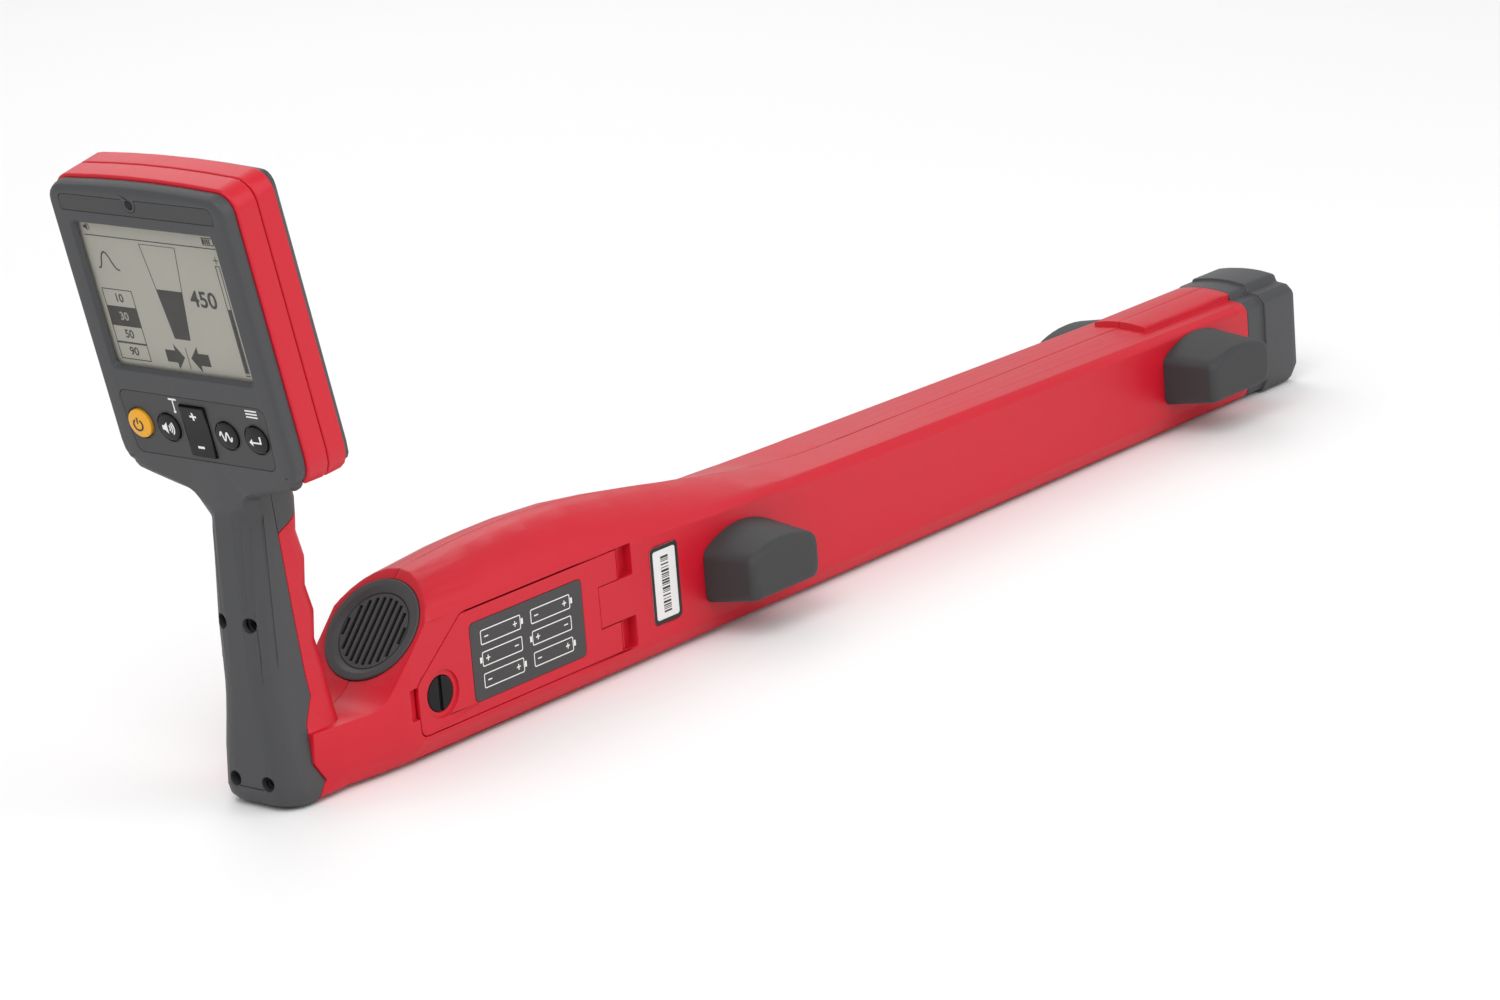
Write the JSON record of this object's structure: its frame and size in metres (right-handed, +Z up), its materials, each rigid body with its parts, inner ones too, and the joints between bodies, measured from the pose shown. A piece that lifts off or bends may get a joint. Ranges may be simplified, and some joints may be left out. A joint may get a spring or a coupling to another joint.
{
  "type": "cable locator",
  "caption": "Hand-held cable locator receiver: a display head with keys on a grip, and a long wand with crosswise aerial pods.",
  "frame": {"origin": "on the flat sole under the handle, on the surface that the locator lies on, in the middle plane", "axes": "+X along the wand to its tip, +Y to the left seen from the display side, +Z up along the handle"},
  "size_m": [0.8481, 0.12, 0.3013],
  "materials": {
    "red_shell": "fine-textured satin moulding",
    "grey_shell": "fine-textured satin moulding",
    "pod_rubber": "soft matt",
    "dark_overlay": "printed film",
    "key_dark": "matt",
    "key_yellow": "matt",
    "clear_window": "clear",
    "display": "grey liquid crystal",
    "black_plastic": "satin",
    "screw_steel": "plain",
    "screw_black": "black oxide",
    "label_white": "film",
    "board_green": "solder mask",
    "cell_steel": "wrapped cell",
    "ferrite": "sintered",
    "copper_wire": "enamelled wire",
    "foam": "foam"
  },
  "bodies": {
    "housing": {"front_shell": "grey_shell", "head_front_ring": "red_shell", "head_rear_shell": "red_shell", "back_cover": "grey_shell", "head_screws": "screw_black", "lcd_window": "clear_window", "lcd_panel": "display", "label_strip": "dark_overlay", "light_sensor": "black_plastic", "keypad_overlay": "dark_overlay", "keypad_mat": "foam", "display_board": "board_green", "handle_screws": "screw_black", "neck_screws": "screw_black", "right_shell": "red_shell", "left_shell": "red_shell", "shell_screws": "screw_steel", "speaker_ring": "grey_shell", "speaker_grille": "grey_shell", "speaker_gasket": "foam", "speaker_driver": "screw_black", "door_hinge_pin": "screw_steel", "side_label": "label_white", "battery_tray": "black_plastic", "battery_cells": "cell_steel", "battery_contacts": "screw_steel", "receiver_board": "board_green", "board_screws": "screw_steel", "mid_pod_right": "pod_rubber", "mid_pod_left": "pod_rubber", "tip_pod_right": "pod_rubber", "tip_pod_left": "pod_rubber", "mid_coil_rod": "ferrite", "mid_coil_winding": "copper_wire", "tip_coil_rod": "ferrite", "tip_coil_winding": "copper_wire", "axial_coil": "copper_wire", "axial_brackets": "black_plastic", "tip_cap": "grey_shell"},
    "power_button": {"power_button": "key_yellow"},
    "sound_button": {"sound_button": "key_dark"},
    "frequency_button": {"frequency_button": "key_dark"},
    "enter_button": {"enter_button": "key_dark"},
    "rocker_key": {"rocker_key": "key_dark"},
    "battery_door": {"battery_door": "red_shell", "door_plate": "dark_overlay", "door_seal": "foam"},
    "door_screw": {"door_screw": "black_plastic"}
  },
  "joints": [
    {"name": "power_button_press", "type": "slide", "parent": "housing", "child": "power_button", "axis": [0.9763, 0, 0.2164], "range_m": [0, 0.001], "stiffness_N_per_m": 1500},
    {"name": "sound_button_press", "type": "slide", "parent": "housing", "child": "sound_button", "axis": [0.9763, 0, 0.2164], "range_m": [0, 0.001], "stiffness_N_per_m": 1500},
    {"name": "frequency_button_press", "type": "slide", "parent": "housing", "child": "frequency_button", "axis": [0.9763, 0, 0.2164], "range_m": [0, 0.001], "stiffness_N_per_m": 1500},
    {"name": "enter_button_press", "type": "slide", "parent": "housing", "child": "enter_button", "axis": [0.9763, 0, 0.2164], "range_m": [0, 0.001], "stiffness_N_per_m": 1500},
    {"name": "rocker_tilt", "type": "hinge", "parent": "housing", "child": "rocker_key", "pos_m": [-0.02022, 0, 0.17963], "axis": [0, 1, 0], "range_deg": [-5, 5], "stiffness_Nm_per_rad": 0.5},
    {"name": "door_hinge", "type": "hinge", "parent": "housing", "child": "battery_door", "pos_m": [0.208, -0.0258, 0.03775], "axis": [0, 0, 1], "range_deg": [0, 95]},
    {"name": "door_screw_turn", "type": "hinge", "parent": "battery_door", "child": "door_screw", "pos_m": [0.0815, -0.029, 0.02916], "axis": [0, -1, 0], "range_deg": [0, 90]}
  ]
}
